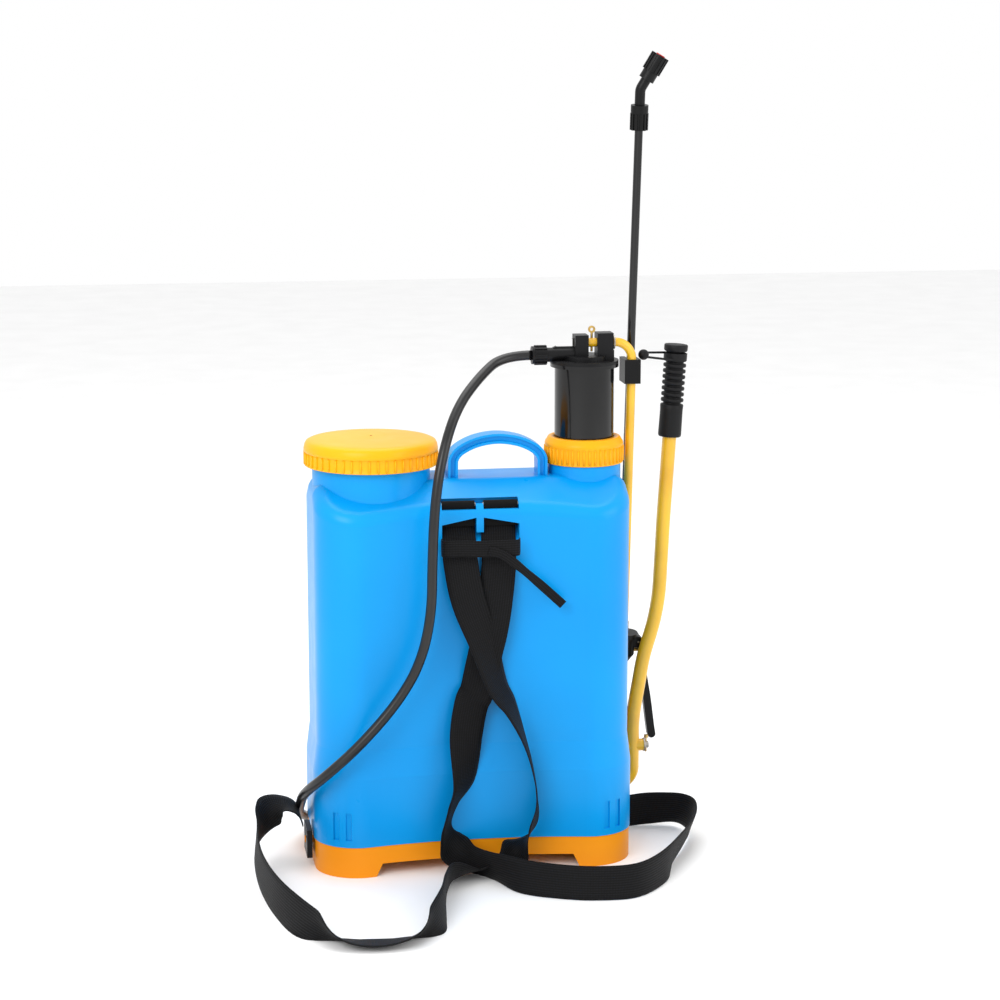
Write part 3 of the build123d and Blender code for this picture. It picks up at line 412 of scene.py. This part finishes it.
hose_rubber = Finish("hose_rubber", Specular_IOR_Level=0.4, Coat_Weight=0.12, Coat_Roughness=0.2)
smear = hose_rubber.noise(30.0, 5.0)
hose_rubber.link(hose_rubber.ramp(smear, [(0.3, (0.002, 0.002, 0.002)), (0.7, (0.007, 0.007, 0.008))]),
                 hose_rubber.shader.inputs["Base Color"])
hose_rubber.link(hose_rubber.spread(smear, 0.25, 0.42), hose_rubber.shader.inputs["Roughness"])
hose_rubber.link(hose_rubber.bump(hose_rubber.noise(700.0), 0.25, 0.0001),
                 hose_rubber.shader.inputs["Normal"])

tube_points, tube_faces, tube_uv = tube_mesh(hose_line, HOSE_R, 20)
hose = new_piece("rubber_hose", tube_points, tube_faces, hose_rubber, None, uv=tube_uv)
outward(hose)
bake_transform(hose)
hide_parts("hose")
print("hose tube", len(tube_points), "vertices")

# %% [markdown]
# ## The straps
#
# Each strap is a long flat ribbon of black webbing. A ribbon is easiest to make from its middle
# line plus, at each point, the direction of its width: turning that direction twists the ribbon.
# The weave follows the ribbon's own UV map, so it bends with it.

# %% Webbing finish
WEB_W = 38
WEB_T = 1.5
FLOOR_GAP = 0.3                 # a ribbon never goes lower than this
WEB_LIE = 0.8                   # what is left of its thickness where it is pressed on the floor


def make_webbing():
    """Woven webbing: fine ribs across, a herringbone along, and a soft sheen."""
    finish = Finish("webbing", Roughness=0.7, Specular_IOR_Level=0.15, Sheen_Weight=0.04,
                    Sheen_Roughness=0.4)
    where = finish.place("UV")
    rib = finish.node("TexWave", wave_type="BANDS", bands_direction="Y", Scale=190.0, Distortion=0.6)
    cross = finish.node("TexWave", wave_type="BANDS", bands_direction="X", Scale=120.0, Distortion=0.3)
    finish.link(where, rib.inputs["Vector"])
    finish.link(where, cross.inputs["Vector"])
    both = finish.node("Math", operation="MULTIPLY")
    finish.link(rib.outputs["Fac"], both.inputs[0])
    finish.link(cross.outputs["Fac"], both.inputs[1])
    finish.link(finish.ramp(both.outputs[0], [(0.0, (0.001, 0.001, 0.001)), (0.8, (0.01, 0.01, 0.012))]),
                finish.shader.inputs["Base Color"])
    finish.link(finish.bump(both.outputs[0], 0.8, 0.0004), finish.shader.inputs["Normal"])
    return finish


webbing = make_webbing()


def ribbon(name, stations, width=WEB_W, thick=WEB_T, per_run=8, body="tank_body", finish=None):
    """A closed ribbon that stays above the floor.

    stations are (middle, width direction) in millimetres; its UV map is in metres.
    """
    flat = [(*middle, *Vector(across).normalized()) for middle, across in stations]
    smooth = curve_points(flat, per_run)
    middles = [Vector(p[:3]) for p in smooth]
    columns = 7
    points, uv = [], []
    travelled = 0.0
    for i, here in enumerate(middles):
        along = (middles[min(i + 1, len(middles) - 1)] - middles[max(i - 1, 0)]).normalized()
        across = Vector(smooth[i][3:])
        across = (across - along * across.dot(along)).normalized()
        face = along.cross(across).normalized()
        if i:
            travelled += (here - middles[i - 1]).length
        for side in (1, -1):
            for column in range(columns):
                share = column / (columns - 1) - 0.5
                rounding = 1 - 0.35 * abs(2 * share) ** 6
                place = here + across * width * share + face * side * thick / 2 * rounding
                place.z = max(place.z, FLOOR_GAP + (WEB_LIE if side > 0 else 0))
                points.append(mm(*place))
                uv.append((share * width * MM, travelled * MM))
    faces = []
    ring = 2 * columns
    order = list(range(columns)) + list(range(ring - 1, columns - 1, -1))
    for i in range(len(middles) - 1):
        for k in range(ring):
            a, b = order[k], order[(k + 1) % ring]
            faces.append((i * ring + a, i * ring + b, (i + 1) * ring + b, (i + 1) * ring + a))
    last = (len(middles) - 1) * ring
    faces.append(tuple(reversed(order)))
    faces.append(tuple(last + k for k in order))
    obj = new_piece(name, points, faces, finish or webbing, body, uv=uv)
    outward(obj)
    print(name, "length", round(travelled), "mm")
    return obj


# %% Left strap
ACROSS = (1, 0, 0)
left_strap = ribbon("left_strap", [
    ((-20, -60, 400), ACROSS), ((-20, -63, 388), ACROSS), ((-20, -74, 374), ACROSS),
    ((-19, -84, 350), ACROSS), ((-12, -88, 311), (1, 0.1, 0.05)), ((4, -91, 265), (0.9, 0.5, 0.2)),
    ((20, -93, 214), (0.6, 0.8, 0.3)), ((34, -95, 190), (0.35, 0.9, 0.3)), ((48, -96, 156), (0.2, 1, 0.1)),
    ((58, -97, 121), (0.15, 1, 0)), ((63, -98, 86), (0.15, 1, 0.1)), ((59, -99, 55), (0.5, 0.8, 0.4)),
    ((44, -100, 30), (0.5, 0.4, 0.8)), ((22, -101, 14), (0.3, -0.5, 0.8)), ((-4, -106, 9), (0.2, -0.9, 0.35)),
    ((-26, -122, 10), (0.5, -0.6, 0.6)), ((-42, -150, 15), (0.2, 0, 1)), ((-52, -192, 18), (0, 0, 1)),
    ((-60, -236, 18), (-0.15, 0, 1)), ((-74, -276, 13), (-0.5, -0.4, 0.7)),
    ((-100, -294, 7), (-0.3, -0.9, 0.3)), ((-135, -299, 4), (-0.1, -1, 0.15)),
    ((-170, -290, 6), (0.3, -1, 0.25)), ((-204, -262, 13), (0.7, -0.5, 0.7)),
    ((-230, -188, 18), (0.25, 0, 1)), ((-243, -100, 22), (0.1, 0, 1)), ((-243, -42, 38), (0.1, 0, 1)),
    ((-230, -16, 56), (0, 0.3, 1)), ((-211, -12, 64), (0, 1, 0.3)), ((-196, -18, 58), (0, 1, 0)),
    ((-190, -21, 44), (0, 1, 0)),
])
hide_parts("strap_left_hanging", "strap_left_floor")

# %% Right strap
right_strap = ribbon("right_strap", [
    ((25, -60, 400), ACROSS), ((25, -63, 388), ACROSS), ((24, -72, 374), ACROSS),
    ((23, -80, 343), ACROSS), ((16, -83, 287), (1, -0.2, 0)), ((6, -85, 243), ACROSS),
    ((-1, -84, 209), (0.9, -0.3, 0)), ((-8, -84, 192), (1, 0, 0)), ((-14, -86, 158), (1, 0.2, 0)),
    ((-17, -89, 107), (0.75, 0.7, 0)), ((-29, -90, 78), (0.5, 0.9, 0.1)), ((-36, -90, 51), (0.4, 0.8, 0.4)),
    ((-28, -90, 30), (0.2, 0.3, 0.9)), ((-10, -98, 20), (-0.1, -0.2, 1)), ((10, -122, 17), (0, -0.35, 1)),
    ((36, -158, 17), (0.1, 0.35, 1)), ((74, -184, 18), (0, 0.25, 1)), ((114, -196, 18), (0, 0.2, 1)),
    ((158, -192, 18), (0, 0.2, 1)), ((196, -152, 18), (-0.1, 0, 1)), ((222, -96, 19), (0.3, 0, 1)),
    ((250, -40, 22), (0.4, 0, 1)), ((262, 4, 24), (0.2, 0.2, 1)), ((250, 34, 24), (0, -0.2, 1)),
    ((220, 46, 21), (0, 0, 1)), ((196, 46, 19), (0, 0, 1)),
])
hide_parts("strap_right_hanging", "strap_right_floor")

# %% Tie band and strap loops
nodes["strap_loops"].data.materials[0] = webbing.material
tie_band = ribbon("tie_band", [
    ((-40, -84, 369), (0, 0, 1)), ((-38, -93, 369), (0, 0, 1)), ((-20, -94.5, 369), (0, 0, 1)),
    ((4, -94.5, 368), (0, 0, 1)), ((26, -94.5, 368), (0, 0, 1)), ((42, -92, 368), (0, 0, 1)),
    ((46, -83, 368), (0, 0, 1)),
], width=18, thick=1.4)
ribbon("tie_tail", [
    ((10, -95.5, 366), (0.4, 0, 1)), ((24, -96.5, 362), (0.6, 0, 0.8)), ((38, -97, 352), (0.7, 0.3, 0.6)),
    ((52, -97, 340), (0.7, 0.6, 0.4)), ((72, -96, 322), (0.7, 0.2, 0.7)), ((92, -94, 303), (0.7, 0, 0.7)),
], width=10, thick=1.2)
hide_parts("strap_tie")

# %% [markdown]
# ## Screw caps
#
# The lid and the collar nut are turned shapes with upright finger ribs round their skirts. The
# turned part is a profile spun round an axis. The ribs repeat, so Geometry Nodes make them: one
# rib is instanced on the points of a circle, and the tree's inputs are the rib's own sizes.

# %% Rib tree


def rib_tree(name, finish):
    """A tree that stands ribs round a circle: Count, Radius, Height, Width, Depth and Base."""
    tree = bpy.data.node_groups.new(name, "GeometryNodeTree")
    face = tree.interface
    face.new_socket("Geometry", in_out="INPUT", socket_type="NodeSocketGeometry")
    face.new_socket("Geometry", in_out="OUTPUT", socket_type="NodeSocketGeometry")
    face.new_socket("Count", in_out="INPUT", socket_type="NodeSocketInt")
    for title in ("Radius", "Height", "Width", "Depth"):
        face.new_socket(title, in_out="INPUT", socket_type="NodeSocketFloat")
    face.new_socket("Base", in_out="INPUT", socket_type="NodeSocketVector")
    nodes_of, links = tree.nodes, tree.links
    inputs = nodes_of.new("NodeGroupInput").outputs
    output = nodes_of.new("NodeGroupOutput")
    circle = nodes_of.new("GeometryNodeMeshCircle")
    links.new(inputs["Count"], circle.inputs["Vertices"])
    links.new(inputs["Radius"], circle.inputs["Radius"])
    rib = nodes_of.new("GeometryNodeMeshCylinder")
    rib.inputs["Vertices"].default_value = 10
    rib.inputs["Radius"].default_value = 0.5
    rib.inputs["Depth"].default_value = 1.0
    stretch = nodes_of.new("ShaderNodeCombineXYZ")
    links.new(inputs["Depth"], stretch.inputs["X"])
    links.new(inputs["Width"], stretch.inputs["Y"])
    links.new(inputs["Height"], stretch.inputs["Z"])
    shaped = nodes_of.new("GeometryNodeTransform")
    links.new(rib.outputs["Mesh"], shaped.inputs["Geometry"])
    links.new(stretch.outputs["Vector"], shaped.inputs["Scale"])
    place = nodes_of.new("GeometryNodeInputPosition")
    turn = nodes_of.new("FunctionNodeAlignRotationToVector")
    turn.axis = "X"
    links.new(place.outputs["Position"], turn.inputs["Vector"])
    stand = nodes_of.new("GeometryNodeInstanceOnPoints")
    links.new(circle.outputs["Mesh"], stand.inputs["Points"])
    links.new(shaped.outputs["Geometry"], stand.inputs["Instance"])
    links.new(turn.outputs["Rotation"], stand.inputs["Rotation"])
    move = nodes_of.new("GeometryNodeTransform")
    links.new(stand.outputs["Instances"], move.inputs["Geometry"])
    links.new(inputs["Base"], move.inputs["Translation"])
    real = nodes_of.new("GeometryNodeRealizeInstances")
    links.new(move.outputs["Geometry"], real.inputs["Geometry"])
    paint = nodes_of.new("GeometryNodeSetMaterial")
    paint.inputs["Material"].default_value = finish.material
    links.new(real.outputs["Geometry"], paint.inputs["Geometry"])
    links.new(paint.outputs["Geometry"], output.inputs["Geometry"])
    return tree


def grow(name, tree, body, **sizes):
    """Runs a tree on an empty mesh and keeps its result as a plain mesh that rides on body."""
    seed_obj = bpy.data.objects.new(name + "_seed", bpy.data.meshes.new(name + "_seed"))
    bpy.context.scene.collection.objects.link(seed_obj)
    modifier = seed_obj.modifiers.new(name, "NODES")
    modifier.node_group = tree
    for item in tree.interface.items_tree:
        if item.item_type == "SOCKET" and item.in_out == "INPUT" and item.name in sizes:
            modifier[item.identifier] = sizes[item.name]
    graph = bpy.context.evaluated_depsgraph_get()
    mesh = bpy.data.meshes.new_from_object(seed_obj.evaluated_get(graph))
    bpy.data.objects.remove(seed_obj)
    mesh.name = name
    obj = bpy.data.objects.new(name, mesh)
    bpy.context.scene.collection.objects.link(obj)
    for face in mesh.polygons:
        face.use_smooth = len(face.vertices) == 4
    if body:
        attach(obj, body)
    print(name, len(mesh.polygons), "faces")
    return obj


# %% Lid
LID_X = -107
LID_RIBS, LID_RIB_R, LID_RIB_Z = 48, 72.8, 456.6
lid_profile = [
    (0, 477), (40, 477), (60, 476.8), (68, 476.2), (71.5, 474.6), (73.2, 471.5), (74, 467.5), (74.2, 464.5),
    (73.2, 463.9), (72.6, 463), (72.6, 451.4), (73.4, 450.2), (73.4, 449), (66, 449), (66, 474), (0, 474),
]
lid = turned("screw_lid", lid_profile, mm(LID_X, 0, 0), cap_yellow, "lid_body")
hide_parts("lid")
lid_tree = rib_tree("lid_ribs", cap_yellow)
lid_ribs = grow("lid_ribs", lid_tree, "lid_body", Count=LID_RIBS, Radius=LID_RIB_R * MM, Height=13.6 * MM,
                Width=2.3 * MM, Depth=3.2 * MM, Base=tuple(mm(LID_X, 0, LID_RIB_Z)))

# %% Vent hole in the lid, drawn as a black disc of painted shade
VENT_X, VENT_Y = 2, 16          # from the lid's centre
# no hole is cut: a thin disc of the black rubber finish on the lid's top is painted shade for the dark inside
# of the vent hole
vent = turned("vent_hole_shade", [(0, 477.1), (1.4, 477.1), (1.6, 476.9), (1.4, 476.2), (0, 476.2)],
              mm(LID_X + VENT_X, VENT_Y, 0), gasket_rubber, "lid_body", 20)

# %% Collar nut
NUT_X = 132
NUT_RIBS, NUT_RIB_R, NUT_RIB_Z = 43, 42.9, 455
nut_profile = [
    (34, 474), (38.6, 474), (39.8, 473.6), (40.6, 472.8), (42.2, 469.8), (43.2, 468.6), (43.8, 467),
    (43.9, 464.6), (43.3, 463), (43.0, 447.4), (43.6, 446.2), (43.6, 445), (41.8, 445), (41.8, 469.1),
    (34, 469.1),
]
nut = turned("collar_ring", nut_profile, mm(NUT_X, 0, 0), cap_yellow, "collar_body")
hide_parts("collar_nut")
nut_ribs = grow("collar_ribs", rib_tree("collar_ribs", cap_yellow), "collar_body", Count=NUT_RIBS,
                Radius=NUT_RIB_R * MM, Height=16.4 * MM, Width=3.1 * MM, Depth=3.8 * MM,
                Base=tuple(mm(NUT_X, 0, NUT_RIB_Z)))

# %% [markdown]
# ## Rubber grip
#
# The grip is a sleeve pushed over the lever's top. Its lower half is plain, its upper half has
# eight deep rounded grooves, and it ends in a flat cap. It leans with the lever, so its profile
# is spun upright and then laid along the lever's own line.

# %% Lever grip
GRIP_FOOT = mm(239.81, 45, 462.5)
GRIP_HEAD = mm(246.44, 45, 568)
RIB_FROM, RIB_PITCH = 39, 6.6
grip_line = (GRIP_HEAD - GRIP_FOOT)
grip_len = grip_line.length / MM
grip_profile = [(8.05, 0), (12.2, 0), (13.0, 0.8), (13.2, 3), (12.9, 30), (13.2, 36.4), (12.6, 37.2)]
for groove in range(8):
    start = RIB_FROM + groove * RIB_PITCH
    grip_profile += [(10.1, start - 1), (10.0, start), (10.4, start + 0.6), (12.6, start + 1.4),
                     (13.0, start + 2.4), (13.0, start + 3.8), (12.6, start + 4.8)]
grip_profile += [(10.4, 92.4), (10.4, 97.0), (12.8, 98.0), (13.4, 99.4), (13.5, grip_len - 1.6),
                 (12.9, grip_len - 0.4), (9, grip_len), (0, grip_len), (0, grip_len - 5),
                 (8.05, grip_len - 5)]
grip = turned("grip_sleeve", grip_profile, (0, 0, 0), gasket_rubber, None, 48)
grip.data.transform(grip_line.to_track_quat("Z", "Y").to_matrix().to_4x4())
grip.data.transform(Matrix.Translation(GRIP_FOOT))
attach(grip, "lever")
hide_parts("lever_grip")

# %% [markdown]
# ## Carrying handle
#
# The handle is an arch of the tank's own plastic with a channel section: a web with a raised
# lip along both edges. Sweeping that section along the arch gives the recessed face.

# %% Handle arch
HANDLE_LEFT, HANDLE_RIGHT, HANDLE_FOOT = -24, 87, 432
HANDLE_Y = -10
arch = [Vector((HANDLE_LEFT + 5.5, 0, HANDLE_FOOT)), Vector((HANDLE_LEFT + 5.5, 0, 446)),
        Vector((HANDLE_LEFT + 6.5, 0, 455)), Vector((HANDLE_LEFT + 14, 0, 464)),
        Vector((HANDLE_LEFT + 32, 0, 472.5)), Vector(((HANDLE_LEFT + HANDLE_RIGHT) / 2, 0, 476)),
        Vector((HANDLE_RIGHT - 32, 0, 472.5)), Vector((HANDLE_RIGHT - 14, 0, 464)),
        Vector((HANDLE_RIGHT - 6.5, 0, 455)), Vector((HANDLE_RIGHT - 5.5, 0, 446)),
        Vector((HANDLE_RIGHT - 5.5, 0, HANDLE_FOOT))]
arch_line = [Vector(p) for p in curve_points([tuple(p) for p in arch], 8)]
# the section, as (across the arch, along Y): a plate with a shallow channel cut in its front edge
SECTION = [(-5.3, -12), (-2.9, -12), (-2.6, -11.6), (-2.6, -8.4), (-2.2, -8), (2.2, -8), (2.6, -8.4),
           (2.6, -11.6), (2.9, -12), (5.3, -12), (5.6, -11.6), (5.6, 11.6), (5.3, 12), (-5.3, 12),
           (-5.6, 11.6), (-5.6, -11.6)]
points, faces = [], []
for i, here in enumerate(arch_line):
    along = (arch_line[min(i + 1, len(arch_line) - 1)] - arch_line[max(i - 1, 0)]).normalized()
    out = Vector((-along.z, 0, along.x))
    for across, depth in SECTION:
        spot = here + out * across
        points.append(mm(spot.x, HANDLE_Y + depth, spot.z))
ring_size = len(SECTION)
for i in range(len(arch_line) - 1):
    for k in range(ring_size):
        a, b = i * ring_size + k, i * ring_size + (k + 1) % ring_size
        faces.append((a, b, b + ring_size, a + ring_size))
faces.append(tuple(range(ring_size)))
faces.append(tuple(range(len(points) - 1, len(points) - 1 - ring_size, -1)))
handle = new_piece("carrying_arch", points, faces, tank_blue, "tank_body", smooth=False)
outward(handle)
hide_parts("carry_handle")
